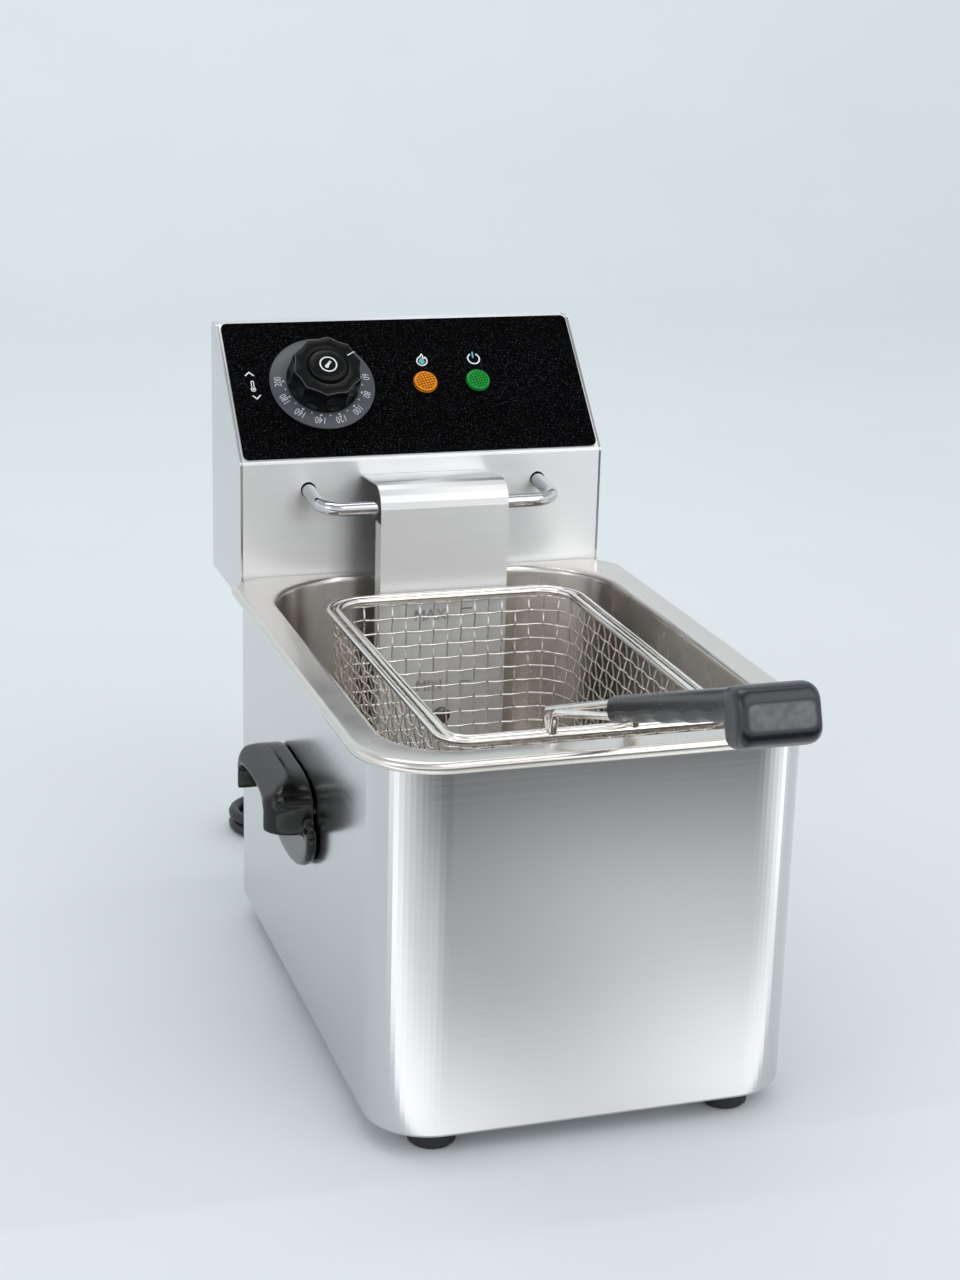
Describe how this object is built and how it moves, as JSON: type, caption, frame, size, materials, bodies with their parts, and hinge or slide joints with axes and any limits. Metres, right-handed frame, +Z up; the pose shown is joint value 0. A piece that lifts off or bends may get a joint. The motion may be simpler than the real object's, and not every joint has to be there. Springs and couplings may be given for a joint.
{
  "type": "deep fryer",
  "caption": "Counter-top electric deep fryer: steel housing, lift-out oil pan, removable control head with immersion element, thermostat knob and wire basket.",
  "frame": {"origin": "middle of the fryer's bounding box without its mains cord, at the underside of the feet", "axes": "+Z up, -Y towards the cook (the basket handle's end), +Y towards the control head, +X to the cook's right"},
  "size_m": [0.2722, 0.7076, 0.3445],
  "materials": {
    "housing_steel": "brushed",
    "pan_steel": "satin, drawn",
    "head_steel": "brushed",
    "cover_steel": "brushed",
    "bright_wire": "bright",
    "zinc_hardware": "zinc plated",
    "element_sheath": "dull, heat toned",
    "bulb_copper": "plain copper",
    "rubber_black": "matt",
    "handle_black": "gloss",
    "fascia_black": "gloss",
    "dial_grey": "satin",
    "grip_black": "satin",
    "bakelite_brown": "matt",
    "ceramic_white": "matt",
    "lamp_amber": "clear, textured",
    "lamp_green": "clear, textured",
    "button_red": "gloss",
    "cord_black": "matt",
    "plug_black": "matt"
  },
  "bodies": {
    "housing": {"outer_housing": "housing_steel", "bottom_plate": "housing_steel", "foot_front_left": "rubber_black", "foot_front_right": "rubber_black", "foot_rear_left": "rubber_black", "foot_rear_right": "rubber_black", "side_handle_left": "handle_black", "side_handle_right": "handle_black", "handle_screw_left_front": "zinc_hardware", "handle_screw_left_rear": "zinc_hardware", "handle_screw_right_front": "zinc_hardware", "handle_screw_right_rear": "zinc_hardware", "head_bracket": "housing_steel", "bracket_rivet_left": "housing_steel", "bracket_rivet_right": "housing_steel"},
    "pan": {"oil_pan": "pan_steel"},
    "head": {"head_shell": "head_steel", "head_side_left": "head_steel", "head_side_right": "head_steel", "head_base": "head_steel", "fascia_panel": "fascia_black", "thermostat_body": "bakelite_brown", "lamp_body_heating": "bakelite_brown", "lamp_body_power": "bakelite_brown", "lamp_lens_heating": "lamp_amber", "lamp_lens_power": "lamp_green", "hanging_bar": "bright_wire", "bar_nut_left": "zinc_hardware", "bar_nut_right": "zinc_hardware", "element_cover": "cover_steel", "cover_screw": "bright_wire", "bulb_clip": "zinc_hardware", "heating_element": "element_sheath", "control_bulb": "bulb_copper", "limiter_bulb": "bulb_copper", "element_flange": "zinc_hardware", "high_limit_cutout": "bakelite_brown", "reset_bushing": "handle_black", "terminal_block": "ceramic_white", "strain_relief": "plug_black", "power_cord": "cord_black", "cord_hank": "cord_black", "cord_tail": "cord_black", "mains_plug": "plug_black"},
    "knob": {"dial_ring": "dial_grey", "knob_grip": "handle_black", "knob_cap": "handle_black", "thermostat_shaft": "zinc_hardware"},
    "reset": {"reset_button": "button_red"},
    "basket": {"basket_rim_outer": "bright_wire", "basket_rim_inner": "bright_wire", "basket_mesh": "bright_wire", "handle_wire_left": "bright_wire", "handle_wire_right": "bright_wire", "basket_grip": "grip_black"}
  },
  "joints": [
    {"name": "pan_lift", "type": "slide", "parent": "housing", "child": "pan", "axis": [0, 0, 1], "range_m": [0, 0.18]},
    {"name": "head_lift", "type": "slide", "parent": "pan", "child": "head", "axis": [0, 0, 1], "range_m": [0, 0.2]},
    {"name": "basket_lift", "type": "slide", "parent": "head", "child": "basket", "axis": [0, 0, 1], "range_m": [0, 0.18]},
    {"name": "thermostat_turn", "type": "hinge", "parent": "head", "child": "knob", "pos_m": [-0.0536, 0.24277, 0.31154], "axis": [0, -0.7122, 0.7019], "range_deg": [0, 270]},
    {"name": "reset_press", "type": "slide", "parent": "head", "child": "reset", "axis": [0, -1, 0], "range_m": [0, 0.002], "stiffness_N_per_m": 600}
  ]
}
